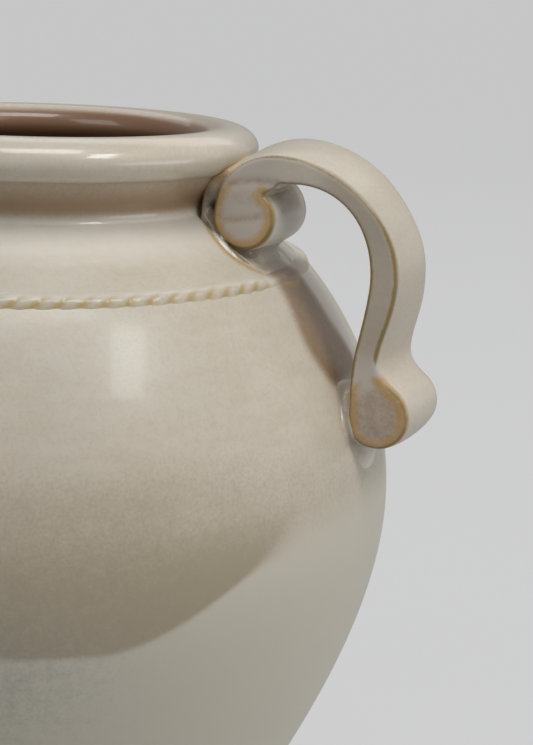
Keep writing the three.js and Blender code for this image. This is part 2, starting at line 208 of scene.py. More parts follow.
# %% The outline of the strap
STRAP_THICKNESS = 11 * MM
STRAP_CROWN = 1 * MM
STRAP_HALF_WIDTH = (strap_high.y - strap_low.y) / 2
STRAP_EDGE = 1.3 * MM
STRAP_REACH, STRAP_REACH_HEIGHT = 140.1 * MM, 256 * MM
STRAP_TOP_RADIUS, STRAP_TOP_HEIGHT = 97 * MM, strap_high.z
TOP_SCROLL_RADIUS, LOW_SCROLL_RADIUS = 11.4 * MM, 11.7 * MM
TOP_SCROLL = np.array([85.7 * MM, 273.2 * MM])
LOW_SCROLL = np.array([strap_high.x - LOW_SCROLL_RADIUS, strap_low.z + LOW_SCROLL_RADIUS])
SCROLL_NOTCH, LOW_PARING = 1.6 * MM, 1.7 * MM
BEND_OUT, BEND_UP = 1.3 * MM, 6 * MM
TOP_WRAP, LOW_WRAP, HEEL_TURN = math.radians(50), math.radians(55), math.radians(246)
INNER_START, INNER_BOW, OUTER_BOW = 0.16, (0.32, 0.42), (0.5, 0.52)
LEG_PULL, INNER_FOOT_PULL, OUTER_FOOT_PULL, BACK_PULL = 0.4, 0.18, 0.2, 0.5
HEEL_PULL, HEEL_ROUND, CROOK_ROUND, BEND_PULL = (0.2 * MM, -7 * MM), 4 * MM, 3 * MM, 4 * MM


def on_roll(centre, radius, turn):
    """A point on the round of a roll, and the direction in which the strap runs there."""
    way = np.array([math.cos(turn), math.sin(turn)])
    return centre + radius * way, np.array([-way[1], way[0]])


def strap_outline():
    """The side view, from the curl of the upper roll down the inner side and back up the outer."""
    under = STRAP_TOP_HEIGHT - STRAP_THICKNESS
    run, rise = STRAP_REACH - STRAP_TOP_RADIUS, STRAP_TOP_HEIGHT - STRAP_REACH_HEIGHT
    roll_right, roll_left = TOP_SCROLL[0] + TOP_SCROLL_RADIUS, TOP_SCROLL[0] - TOP_SCROLL_RADIUS
    low_top = LOW_SCROLL[1] + LOW_SCROLL_RADIUS
    drop = STRAP_REACH_HEIGHT - low_top
    start = np.array([STRAP_TOP_RADIUS + INNER_START * run, under])
    outer = (STRAP_REACH, STRAP_REACH_HEIGHT)
    inner = (STRAP_REACH - STRAP_THICKNESS, STRAP_REACH_HEIGHT)
    pared = (LOW_SCROLL[0] - LOW_SCROLL_RADIUS + LOW_PARING, LOW_SCROLL[1])
    heel, heel_way = on_roll(LOW_SCROLL, LOW_SCROLL_RADIUS, HEEL_TURN)
    roll_end, roll_way = on_roll(LOW_SCROLL, LOW_SCROLL_RADIUS, LOW_WRAP)
    bend = (LOW_SCROLL[0] + BEND_OUT, low_top + BEND_UP)
    top, roll_side = (STRAP_TOP_RADIUS, STRAP_TOP_HEIGHT), (roll_left, TOP_SCROLL[1])
    back_rise = STRAP_TOP_HEIGHT - BACK_PULL * TOP_SCROLL_RADIUS - TOP_SCROLL[1]
    curl_end = (roll_right, under - SCROLL_NOTCH)
    curl = drawn(curl_end, (0, SCROLL_NOTCH), start, (roll_right - start[0], 0), 12)
    inner_bow = drawn(start, (INNER_BOW[0] * run, 0), inner, (0, INNER_BOW[1] * rise), 40)
    inner_leg = drawn(inner, (0, -LEG_PULL * drop),
                      pared, (0, LOW_SCROLL_RADIUS + INNER_FOOT_PULL * drop), 40)
    heel_curve = drawn(pared, HEEL_PULL, heel, -HEEL_ROUND * heel_way, 14)
    low_roll = arc(LOW_SCROLL, LOW_SCROLL_RADIUS, HEEL_TURN, 2 * math.pi + LOW_WRAP, 50)
    crook = drawn(roll_end, CROOK_ROUND * roll_way, bend, (0, -BEND_PULL), 14)
    outer_leg = drawn(bend, (0, OUTER_FOOT_PULL * drop), outer, (0, -LEG_PULL * drop), 40)
    outer_bow = drawn(outer, (0, OUTER_BOW[0] * rise), top, (OUTER_BOW[1] * run, 0), 40)
    back = drawn(top, (TOP_SCROLL[0] - STRAP_TOP_RADIUS, 0), roll_side, (0, back_rise), 30)
    top_roll = arc(TOP_SCROLL, TOP_SCROLL_RADIUS, math.pi, 2 * math.pi + TOP_WRAP, 60)
    others = (inner_bow, inner_leg, heel_curve, low_roll, crook, outer_leg, outer_bow, back, top_roll)
    return np.vstack([curl] + [stretch[1:] for stretch in others])


SIDE_LOW, SIDE_HIGH = (60 * MM, 190 * MM), (160 * MM, 310 * MM)
side_distance = distance_to(strap_outline(), SIDE_LOW, SIDE_HIGH)
print("points round the strap:", len(strap_outline()))

# %% [markdown]
# ## The strap as a distance
# The side view gives the strap its length, and its width closes it. The edges are softened by a
# small radius, the faces are crowned, and the ends of the rolls keep the mark of the curl: a
# shallow seam and an eye, pressed into the flat side.

# %% The strap as a distance
SEAM_DEPTH, SEAM_WIDTH = 0.22 * MM, 1.5 * MM
SLOW_WAVE, QUICK_WAVE = 0.18 * MM, 0.12 * MM
STRAP_SINK = 0.4 * MM
TOP_SEAM = bezier(TOP_SCROLL + (10.5 * MM, 12.4 * MM), TOP_SCROLL + (5 * MM, 12.8 * MM),
                  TOP_SCROLL + (-1 * MM, 12.6 * MM), TOP_SCROLL + (-6 * MM, 10.8 * MM), 12)
TOP_EYE = bezier(TOP_SCROLL + (-6.8 * MM, -1.2 * MM), TOP_SCROLL + (-3 * MM, -0.9 * MM),
                 TOP_SCROLL + (0 * MM, -0.6 * MM), TOP_SCROLL + (4.5 * MM, 0.8 * MM), 8)


def distance_to_line(points, u, v):
    """Distance to an open line of points."""
    nearest = np.full(np.shape(u), np.inf)
    for a, b in zip(points, points[1:]):
        edge = b - a
        share = np.clip(((u - a[0]) * edge[0] + (v - a[1]) * edge[1]) / (edge @ edge), 0, 1)
        gap = np.hypot(u - a[0] - share * edge[0], v - a[1] - share * edge[1])
        nearest = np.minimum(nearest, gap)
    return nearest


def seam_mark(x, z):
    """1 along the seams that the curled ends leave, fading out over the seam's width."""
    nearest = np.minimum(distance_to_line(TOP_SEAM, x, z), distance_to_line(TOP_EYE, x, z))
    return np.exp(-(nearest / SEAM_WIDTH) ** 2)


LEAN_HEIGHTS = np.array([205, 232, 256, 275, 290]) * MM
LEAN_OUT = np.array([1.1, 1.9, 0.9, 0.7, 0]) * MM
LEAN_UP, LEAN_UP_SPAN = 1.7 * MM, span(272, 290)
LOW_DROP, LOW_OUT, LOW_SPAN = 0.9 * MM, 0.4 * MM, span(228, 214)


def untwisted(x, y, z):
    """Takes out the small twist and sag that the maker's hands left in the strap."""
    share = y / STRAP_HALF_WIDTH
    low = ease(z, *LOW_SPAN)
    out = np.interp(z, LEAN_HEIGHTS, LEAN_OUT) * share + LOW_OUT * low
    up = LEAN_UP * share * ease(z, *LEAN_UP_SPAN) - LOW_DROP * low
    return x - out, z - up


def strap_parts(x, y, z):
    """How far a point is past the strap's faces, and past its two sides."""
    side = np.abs(y)
    x, z = untwisted(x, y, z)
    crown = STRAP_CROWN * np.clip(side / STRAP_HALF_WIDTH, 0, 1.2) ** 2.4
    hand = SLOW_WAVE * np.sin(70 * x + 160 * z) + QUICK_WAVE * np.sin(190 * z - 90 * y)
    faces = side_distance(x, z) + crown + STRAP_EDGE
    sides = side - STRAP_HALF_WIDTH + STRAP_EDGE + hand
    return faces, sides


def strap_distance(x, y, z):
    """Distance to the whole strap, with its edges rounded and the seams pressed in."""
    faces, sides = strap_parts(x, y, z)
    sides = sides + SEAM_DEPTH * seam_mark(x, z)
    return (np.minimum(np.maximum(faces, sides), 0)
            + np.hypot(np.maximum(faces, 0), np.maximum(sides, 0)) - STRAP_EDGE)


def pared_strap(x, y, z):
    """The strap, pared where it meets the jar so that it just sinks into the wall."""
    return np.maximum(strap_distance(x, y, z), -wall_distance(x, y, z) - STRAP_SINK)


# %% [markdown]
# ## The luting clay
# Slip and soft clay are pressed round the foot of each roll and smeared onto the wall. That leaves
# a fillet in the corner and a thin pad with a soft edge beyond it.

# %% The luting clay as distances
Joint = namedtuple("Joint", "seat length half_width power bead hollow beside fillet gap outer")
# seat is the middle of the smeared pad, and power how square it is. bead is its height, hollow how
# much its middle is left empty and beside how little clay there is past the strap's two sides.
# gap is how wide a crack between strap and wall is filled, and outer how much clay is on the far
# side of the roll.
UPPER_JOINT = Joint(seat=(82.4 * MM, 262.2 * MM), length=19.4 * MM, half_width=18.6 * MM, power=1.7,
                    bead=1.2 * MM, hollow=0.75, beside=1.0, fillet=8 * MM, gap=5.6 * MM, outer=0.1)
LOWER_JOINT = Joint(seat=(124.5 * MM, 202 * MM), length=13.5 * MM, half_width=12 * MM, power=2.6,
                    bead=1.4 * MM, hollow=0.0, beside=0.5, fillet=9 * MM, gap=1.5 * MM, outer=1.0)
LUTE_GRIP = 2.5 * MM
FILLING_HALF_WIDTH = 13.6 * MM
# The clay is set back a hair under the strap's own face, and feathered out where there is none.
SET_BACK, FEATHER = 0.06 * MM, 0.3 * MM
PAD_END, PAD_STOP = 1.04, 1.06
COLLAR_TURNS_OUT = (SEAT_HEIGHT - 10 * MM, SEAT_HEIGHT - 2 * MM)
GAP_CLOSES = (SEAT_HEIGHT - 1 * MM, SEAT_HEIGHT + 5 * MM)
FILLING_FILLET, FILLING_EDGE, STRAP_GROOVE = 1.4 * MM, 3 * MM, span(2.5, 0.5)


def pad_share(joint, x, y, z):
    """0 in the middle of a smeared pad and 1 at its outer edge."""
    reach = np.hypot(x - joint.seat[0], z - joint.seat[1]) / joint.length
    return (reach**joint.power + np.abs(y / joint.half_width) ** joint.power) ** (1 / joint.power)


def by_collar(z):
    """1 where the wall turns out under the collar, and on the collar itself."""
    return ease(z, *COLLAR_TURNS_OUT)


def outward(joint, x):
    """0 between the roll and the neck and 1 on the far side of the roll."""
    return ease(x, joint.seat[0] - 2 * MM, joint.seat[0] + 9 * MM)


def clay_left(joint, x):
    """How much of the clay there is, which thins out towards the far side of the roll."""
    return 1 - (1 - joint.outer) * outward(joint, x)


def pressed_bead(joint, share, x):
    """How full the smeared pad stands: all of it, or a ring where its middle is hollow."""
    bead = ease(share, PAD_END, 0.68 + 0.33 * joint.hollow)
    return bead * (1 - joint.hollow * ease(share, 0.93, 0.83)) * clay_left(joint, x)


def fillet_reach(joint, y, z):
    """How far the clay reaches out of the corner, less on the collar and past the strap's sides."""
    beside = joint.beside * ease(np.abs(y), STRAP_HALF_WIDTH - 6 * MM, STRAP_HALF_WIDTH)
    collar = by_collar(z)
    return joint.fillet * (1 - 0.8 * collar) * (1 - 0.9 * beside * (1 - 0.5 * collar))


def packed_gap(joint, strap, wall, x, y, z):
    """Distance to the clay that fills the crack between strap and wall."""
    gap = joint.gap * (1 - 0.84 * ease(z, *GAP_CLOSES))
    gap = gap * clay_left(joint, x)
    return -blended(gap - np.maximum(strap, wall), FILLING_HALF_WIDTH - np.abs(y), FILLING_EDGE)[0]


def luting(joint, x, y, z):
    """Distance to the clay of one joint, and how deep the glaze pools on it."""
    strap, wall = strap_distance(x, y, z), wall_distance(x, y, z)
    share = pad_share(joint, x, y, z)
    bead = pressed_bead(joint, share, x)
    reach = fillet_reach(joint, y, z)
    joined, depth = blended(strap, wall - joint.bead * bead, reach)
    filling = packed_gap(joint, strap, wall, x, y, z)
    joined = blended(joined, filling, FILLING_FILLET)[0]
    spread = np.minimum(strap - reach - 1 * MM, filling)
    spread = np.minimum(spread, (share - PAD_STOP) * joint.length)
    hold = np.maximum(np.maximum(-wall - LUTE_GRIP, wall - 1.1 * joint.fillet), spread)
    packed = joint.hollow * ease(filling, 1.5 * MM, 0)
    groove = joint.hollow * ease(strap, *STRAP_GROOVE)
    deep = np.maximum(depth / (joint.fillet / 4), np.maximum(groove, packed))
    body = np.maximum(np.maximum(bead, packed), ease(depth, 0, 0.5 * MM))
    return np.maximum(joined + SET_BACK + FEATHER * (1 - body), hold), deep


print("pads, mm:", [round(2 * joint.length / MM, 1) for joint in (UPPER_JOINT, LOWER_JOINT)])

# %% [markdown]
# ## From a distance to a mesh
# Surface nets: the space is cut into small cubes, each cube that the surface passes through gets one
# point, and neighbours join into quads. A few steps along the slope then put every point on the
# surface itself. It gives even quads on any shape, where marching cubes gives slivers.

# %% Surface nets
def settle(distance, points, step):
    """Moves points along the slope of a distance until they lie on its zero."""
    probe = 0.06 * MM
    for _ in range(4):
        value = distance(*points.T)
        ahead = [distance(*(points + probe * axis).T) for axis in np.eye(3)]
        behind = [distance(*(points - probe * axis).T) for axis in np.eye(3)]
        slope = (np.stack(ahead, 1) - np.stack(behind, 1)) / (2 * probe)
        move = -value[:, None] * slope / np.maximum((slope**2).sum(1), 0.2)[:, None]
        points = points + np.clip(move, -step / 3, step / 3)
    return points


def surface_net(distance, low, high, cell):
    """Points and quads of the surface where a distance is zero, inside a box."""
    axes = [np.arange(a, b + cell, cell) for a, b in zip(low, high)]
    value = distance(*np.meshgrid(*axes, indexing="ij"))
    inside = value < 0
    sizes = np.array(value.shape) - 1
    corners = [np.array((i, j, k)) for i in (0, 1) for j in (0, 1) for k in (0, 1)]
    count = sum(inside[tuple(slice(c, c + n) for c, n in zip(corner, sizes))].astype(int)
                for corner in corners)
    mixed = (count > 0) & (count < 8)
    number = np.full(mixed.shape, -1)
    number[mixed] = np.arange(mixed.sum())
    cube = np.argwhere(mixed)
    total, crossings = np.zeros((len(cube), 3)), np.zeros(len(cube))
    for corner in corners:
        for axis in np.flatnonzero(corner == 0):
            ahead = corner + np.eye(3, dtype=int)[axis]
            a, b = value[tuple((cube + corner).T)], value[tuple((cube + ahead).T)]
            cut = (a < 0) != (b < 0)
            place = (cube + corner).astype(float)
            place[cut, axis] += a[cut] / (a[cut] - b[cut])
            total[cut] += place[cut]
            crossings += cut
    points = np.array(low) + cell * total / crossings[:, None]
    quads = []
    for axis in range(3):
        ahead, u, v = np.eye(3, dtype=int)[[axis, (axis + 1) % 3, (axis + 2) % 3]]
        spots = np.argwhere(np.diff(inside.astype(np.int8), axis=axis) != 0)
        ring = [number[tuple((spots - step).T)] for step in (u + v, v, np.zeros(3, int), u)]
        ring = np.stack(ring, 1)
        leaves = inside[tuple(spots.T)]
        quads.append(np.where(leaves[:, None], ring, ring[:, ::-1]))
    return settle(distance, points, cell), np.vstack(quads)


# %% [markdown]
# ## From a mesh to a piece
# A piece is a mesh object that rides the measured body. Besides its shape it carries numbers on its
# points, such as how close an edge is. A glaze reads them as attributes, so one glaze suits every
# piece and nothing has to be unwrapped or painted.

# %% Helpers that make pieces
def make_piece(name, points, faces, body="root"):
    mesh = bpy.data.meshes.new(name)
    mesh.from_pydata(np.asarray(points).tolist(), [], np.asarray(faces, dtype=object).tolist())
    mesh.validate()
    mesh.polygons.foreach_set("use_smooth", [True] * len(mesh.polygons))
    piece = bpy.data.objects.new(name, mesh)
    bpy.context.scene.collection.objects.link(piece)
    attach(piece, body)
    print(f"{name}: {len(mesh.polygons)} faces")
    return piece


def points_of(piece):
    flat = np.zeros(len(piece.data.vertices) * 3)
    piece.data.vertices.foreach_get("co", flat)
    return flat.reshape(-1, 3)


def set_mask(piece, name, values):
    """Keeps a number for each point of a piece, which its glaze reads."""
    layer = piece.data.attributes.new(name, "FLOAT", "POINT")
    layer.data.foreach_set("value", np.asarray(values, np.float32))


def finish_piece(piece, material, slot, *nodes):
    """Gives a piece its finish and hides the measured pieces it stands for."""
    piece.data.materials.append(material)
    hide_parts(*nodes)


# %% [markdown]
# ## Turning a skin
# Everything that comes off the wheel is one outline turned round the axis. Blender's Screw could do
# it, but a loop lets the points crowd together near the handles, where the glaze has fine edges, and
# lets in a little of the wheel's wobble, because no thrown wall is a perfect circle.

# %% Turning a skin
def ring_turns(fine=math.radians(0.5), coarse=math.radians(1.5), spread=math.radians(26)):
    """Angles round the jar, close together near the two handles."""
    near = np.arange(-spread, spread, fine)
    steps = round((math.pi - 2 * spread) / coarse)
    far = np.linspace(spread, math.pi - spread, steps, endpoint=False)
    half = np.concatenate([near, far])
    return np.concatenate([half, half + math.pi])


TURNS = ring_turns()
print("points round the jar:", len(TURNS))


def wobble(turn, height, size):
    """How far a thrown wall strays from round: a slow lean and a few softer waves."""
    return size * (np.sin(2 * turn + 9 * height) + 0.6 * np.sin(3 * turn - 23 * height + 1))


def turned_skin(name, outline, stray=0.0, closed=True, turns=TURNS):
    """Turns an outline of radius and height; a point on the axis becomes one point."""
    points, rings = [], []
    for radius, height in outline:
        count = 1 if radius < 1e-6 else len(turns)
        rings.append(np.resize(np.arange(len(points), len(points) + count), len(turns)))
        reach = radius + (wobble(turns, height, stray) if count > 1 else 0 * turns)
        ring = np.stack([reach * np.cos(turns), reach * np.sin(turns), height + 0 * turns], 1)
        points.extend(ring[:count])
    faces = []
    for low, high in zip(rings, rings[1:] + ([rings[0]] if closed else [])):
        for a, b, c, d in zip(low, np.roll(low, -1), np.roll(high, -1), high):
            faces.append(list(dict.fromkeys((int(a), int(b), int(c), int(d)))))
    return make_piece(name, points, faces)


# %% [markdown]
# ## Shader maths as plain sums
# A glaze is a handful of masks: where it pools, where it breaks, where iron specks float up. The
# small class below wraps a socket, so that a mask can be written as ordinary arithmetic.

# %% A socket that can be used in a sum
class Flow:
    """A value, colour or vector on its way through a material."""

    def __init__(self, tree, socket=None):
        self.tree = tree
        self.socket = socket

    def node(self, kind, settings=None, inputs=None, output=0):
        """Any node: its settings first, then the values or links of its sockets."""
        made = self.tree.nodes.new(kind)
        for name, value in (settings or {}).items():
            setattr(made, name, value)
        for key, value in (inputs or {}).items():
            if isinstance(value, Flow):
                self.tree.links.new(value.socket, made.inputs[key])
            else:
                made.inputs[key].default_value = value
        return Flow(self.tree, made.outputs[output])

    def maths(self, operation, a, b=0.0):
        return self.node("ShaderNodeMath", {"operation": operation}, {0: a, 1: b})

    def __add__(self, other):
        return self.maths("ADD", self, other)

    __radd__ = __add__

    def __sub__(self, other):
        return self.maths("SUBTRACT", self, other)

    def __rsub__(self, other):
        return self.maths("SUBTRACT", other, self)

    def __mul__(self, other):
        return self.maths("MULTIPLY", self, other)

    __rmul__ = __mul__

    def step(self, low, high):
        """0 below low, 1 above high and smooth between, like a feathered edge."""
        return self.node("ShaderNodeMapRange", {"interpolation_type": "SMOOTHSTEP"},
                         {"Value": self, "From Min": low, "From Max": high})

    def mix(self, below, above):
        """Two colours mixed by this value."""
        return self.node("ShaderNodeMix", {"data_type": "RGBA"},
                         {"Factor": self, 6: below, 7: above}, output=2)

    def noise(self, scale, detail=4.0, roughness=0.55, stretch=(1, 1, 1)):
        place = self.node("ShaderNodeNewGeometry")
        scaled = self.node("ShaderNodeVectorMath", {"operation": "MULTIPLY"}, {0: place, 1: stretch})
        return self.node("ShaderNodeTexNoise", {}, {"Vector": scaled, "Scale": scale,
                                                    "Detail": detail, "Roughness": roughness})

    def attribute(self, name):
        return self.node("ShaderNodeAttribute", {"attribute_name": name}, output=2)


# %% [markdown]
# ## The glaze
# One cream glaze covers the whole jar. It breaks amber where it runs thin over an edge, goes brown
# where little of it reached the clay and as painted shade behind the straps, and turns dark where
# it pools and as painted shade in the corners. Its milk-white marks are painted light and painted
# highlights. Layered noise at several scales gives the cloudy body, the fine mottle and the iron
# specks.

# %% Glaze and clay finishes
def rgb(red, green, blue):
    """A colour as the eye reads it on a screen, turned into light values."""
    return tuple((c / 255 / 12.92 if c < 11 else ((c / 255 + 0.055) / 1.055) ** 2.4)
                 for c in (red, green, blue)) + (1,)


CREAM = rgb(211, 200, 182)
OATMEAL = rgb(198, 184, 164)
CLOUD = rgb(204, 198, 183)
STONE = rgb(208, 202, 184)
SLATE = rgb(154, 156, 148)
OLIVE = rgb(142, 120, 72)
UMBER = rgb(172, 158, 134)
LILAC = rgb(194, 185, 174)
AMBER = rgb(186, 146, 82)
OCHRE = rgb(178, 152, 92)
BROWN = rgb(144, 109, 66)
BARK = rgb(139, 110, 74)
POOL = rgb(104, 94, 78)
TOAST = rgb(132, 98, 72)
TAN = rgb(157, 130, 99)
PAINTED_LIGHT_WHITE = rgb(232, 227, 216)
BARE, SAND = rgb(150, 116, 84), rgb(178, 144, 108)
BUMP_DEPTH = 0.4 * MM


def new_material(name, **fixed):
    material = bpy.data.materials.new(name)
    material.use_nodes = True
    shader = material.node_tree.nodes["Principled BSDF"]
    for socket, value in fixed.items():
        shader.inputs[socket.replace("_", " ")].default_value = value
    return material, Flow(material.node_tree), shader


def plug(flow, shader, **sockets):
    for name, value in sockets.items():
        flow.tree.links.new(value.socket, shader.inputs[name.replace("_", " ")])


def glaze(name, shine, *masks):
    """Cream glaze with masks: a name, a colour, how ragged its edge is, and its start and end."""
    material, flow, shader = new_material(name, IOR=1.45, Coat_IOR=1.5, Coat_Roughness=0.09)
    cloud = flow.noise(14, 4)
    streak = flow.noise(60, 3, 0.5, stretch=(1, 1, 4))
    mottle = flow.noise(330, 3, 0.6)
    base = cloud.step(0.3, 0.7).mix(CREAM, CLOUD)
    base = ((1.2 - streak * 0.7 - mottle * 0.6).step(0.35, 0.85) * 0.6).mix(base, OATMEAL)
    grain = flow.noise(900, 3, 0.65)
    base = (grain.step(0.45, 0.72) * 0.2).mix(base, UMBER)
    speck = flow.noise(1100, 2, 0.5).step(0.71, 0.77) * flow.noise(90, 2).step(0.5, 0.62)
    base = (speck * 0.5).mix(base, BROWN)
    blot = (mottle + grain) * 0.5 - 0.5
    for mask, colour, ragged, *ends in masks:
        start, end = ends or (0.0, 1.0)
        amount = flow.attribute(mask)
        amount = amount + blot * ragged * amount.step(start, start + 0.3 * (end - start))
        base = amount.step(start, end).mix(base, colour)
    rough = 0.36 + (mottle - 0.5) * 0.12 + (streak - 0.5) * 0.06
    coat = shine * (0.7 + cloud * 0.6) + flow.attribute("pool_and_shade") * 0.5
    bump = flow.node("ShaderNodeBump", {}, {"Strength": 0.1, "Distance": BUMP_DEPTH,
                                            "Height": mottle + streak * 1.5})
    plug(flow, shader, Base_Color=base, Roughness=rough, Coat_Weight=coat, Normal=bump)
    return material


def bare_clay(name):
    """Unglazed fired clay: matt, sandy and a little toasted."""
    material, flow, shader = new_material(name, IOR=1.45)
    grit = flow.noise(900, 4, 0.7)
    toast = flow.noise(40, 4)
    base = (toast * 0.7 + grit * 0.3).step(0.35, 0.65).mix(BARE, SAND)
    bump = flow.node("ShaderNodeBump", {}, {"Strength": 0.5, "Distance": BUMP_DEPTH, "Height": grit})
    plug(flow, shader, Base_Color=base, Roughness=0.8 + grit * 0.15, Normal=bump)
    return material


# %% The finishes
# Milk-white marks are painted light and painted highlights; the brown, tan and dark pool marks also
# carry painted shade.
PAINTED_LIGHT_MASK = ("pale", PAINTED_LIGHT_WHITE, 0.3)
SHADED = ("thin_glaze_and_shade", BARK, 0.5)
TOASTED = ("inside", TOAST, 0.3)
amber_pool_and_shade = [("edge", AMBER, 0.9), ("pool_and_shade", POOL, 0.3)]
body_glaze = glaze("belly_glaze", 0.12, ("dip", UMBER, 1.0), ("low", STONE, 0.6),
                   ("haze", SLATE, 1.2), PAINTED_LIGHT_MASK, SHADED, *amber_pool_and_shade, TOASTED)
shoulder_glaze = glaze("shoulder_glaze", 0.6, PAINTED_LIGHT_MASK, ("tan_and_shade", TAN, 0.4), SHADED, *amber_pool_and_shade,
                       TOASTED)
band_glaze = glaze("band_glaze", 0.25, PAINTED_LIGHT_MASK, SHADED, ("edge", OCHRE, 0.6))
handle_glaze = glaze("handle_glaze", 0.15, ("side", LILAC, 0.3), ("face", UMBER, 0.6),
                     ("thin_glaze_and_shade", BROWN, 0.85), *amber_pool_and_shade, ("pale", PAINTED_LIGHT_WHITE, 0.2),
                     ("corner", OLIVE, 0.8, -0.1, 0.7))
pooled_glaze = glaze("pooled_glaze", 0.15, ("thin_glaze_and_shade", BROWN, 0.5), *amber_pool_and_shade,
                     ("pale", PAINTED_LIGHT_WHITE, 0.2))
clay = bare_clay("bare_clay")
print("finishes:", ", ".join(material.name for material in bpy.data.materials))

# %% [markdown]
# ## Where the glaze changes on the thrown wall
# The masks are worked out from the shapes: brown as painted shade and reflection behind each strap,
# a paler painted light just past it and in the neck's hollow, amber round the luting pads and where
# a strap touches the collar, tan as painted shade in the undercut of the neck, and a long soft lap
# line on the belly where two dips of glaze overlap.

# %% Shades on the thrown wall
SHADE_TOP, SHADE_MIDDLE, SHADE_FOOT = 257 * MM, 234 * MM, 216 * MM
SHADE_LOWER_PART = span(240, 224)
SHADE_INSET, SHADE_SPREAD, SHADE_SOFT = 12 * MM, 6 * MM, 10 * MM
SHADE_BULGE, BULGE_REACH, NEAR_EDGE = 6 * MM, 20 * MM, span(-2, 7)
SHADE_TOP_SOFT, SHADE_FOOT_SOFT = 4 * MM, 7 * MM
RUN_WIDTH, RUN_FOOT_SOFT, RUN_SPAN = 26 * MM, 12 * MM, (NECK_HEIGHT - 4 * MM, JOIN_HEIGHT)
UNDERCUT_FOOT, UNDERCUT_HEAD = span(-0.6, 5.4), 2 * MM
FRINGE_PLACE, FRINGE_WIDTH = 1.05, 0.09


def beyond_strap(across, z):
    """0 in the shade of a strap and 1 past its far edge, which lies further out lower down."""
    edge = STRAP_HALF_WIDTH - SHADE_INSET + SHADE_SPREAD * ease(z, *SHADE_LOWER_PART)
    return ease(across, edge, edge + SHADE_SOFT)


def painted_strap_shade(across, z):
    """Painted shade and reflection in brown on the wall behind each strap, between its two scrolls.
    """
    bulge = SHADE_BULGE * ease(np.abs(z - SHADE_MIDDLE), BULGE_REACH, 0)
    near = ease(across + STRAP_HALF_WIDTH + bulge, *NEAR_EDGE)
    far = 1 - beyond_strap(across, z)
    foot = ease(z, SHADE_FOOT, SHADE_FOOT + SHADE_FOOT_SOFT)
    return near * far * foot * ease(z, SHADE_TOP + SHADE_TOP_SOFT, SHADE_TOP - SHADE_TOP_SOFT)


def painted_light_run(across, z):
    """Painted light: a paler run on the wall just past the painted shade of the strap."""
    run = beyond_strap(across, z) * ease(across, STRAP_HALF_WIDTH + RUN_WIDTH, STRAP_HALF_WIDTH)
    run = run * ease(z, SHADE_FOOT, SHADE_FOOT + RUN_FOOT_SOFT)
    return run * ease(z, *RUN_SPAN)


def undercut_shade(z):
    """Painted shade, darker and warmer, in the undercut between the neck and the collar."""
    low = ease(z - NECK_HEIGHT, *UNDERCUT_FOOT)
    return low * ease(z, SEAT_HEIGHT + UNDERCUT_HEAD, SEAT_HEIGHT)


def pad_fringe(joint, x, y, z):
    """A soft line just outside a luting pad."""
    return np.exp(-((pad_share(joint, x, y, z) - FRINGE_PLACE) / FRINGE_WIDTH) ** 2)


# %% Where one glaze laps over the other
LAP_HEIGHT, LAP_RISE = 151.4 * MM, 29 * MM
LAP_START, LAP_END = math.radians(18), math.radians(54)
DIP_TOP, DIP_DEPTH = 218 * MM, 24 * MM
STRONG_SPAN = (math.radians(18), math.radians(36))
STRONG_TURN, STRONG_SPREAD = math.radians(30), math.radians(14)
SOFT_SPAN = (math.radians(33), math.radians(20))
HAZE_TURN, HAZE_SPREAD = math.radians(80), math.radians(31)
HAZE_HEIGHT, HAZE_SIZE = 146 * MM, 36 * MM
LAP_SOFT = (2 * MM, 12 * MM)


def lap_masks(piece):
    """The upper dip of glaze darkens down to its lap line, which climbs towards the handles."""
    x, y, z = points_of(piece).T
    around = np.arctan2(np.abs(y), np.abs(x))
    above = z - LAP_HEIGHT - LAP_RISE * ease(around, LAP_END, LAP_START)
    strong = 0.6 + 0.45 * ease(around, *STRONG_SPAN)
    strong = strong + 0.3 * np.exp(-((around - STRONG_TURN) / STRONG_SPREAD) ** 2)
    half_way = DIP_TOP - DIP_DEPTH
    deep = 0.5 * ease(z, DIP_TOP, half_way)
    deep = deep + 0.34 * ease(z, half_way, half_way - DIP_DEPTH)
    soft = LAP_SOFT[0] + LAP_SOFT[1] * ease(around, *SOFT_SPAN)
    edge = ease(above / soft, -1, 1)
    hazy = ((around - HAZE_TURN) / HAZE_SPREAD) ** 2 + ((z - HAZE_HEIGHT) / HAZE_SIZE) ** 2
    set_mask(piece, "dip", np.minimum(strong * deep, 1) * edge)
    set_mask(piece, "haze", 0.45 * np.exp(-hazy))
    set_mask(piece, "low", 0.9 * (1 - edge))


# %% Masks of the thrown wall
COLLAR_TOUCH = span(293, 285)
MOUTH_SPAN, LIP_SPAN = span(62.8, 59.6), span(70, 64)
TOUCH_REACH, BORE_DEPTH = span(5.5, 0.3), span(-2, -4)
NECK_HOLLOW = (NECK_HEIGHT - 16 * MM, NECK_HEIGHT - 4 * MM)


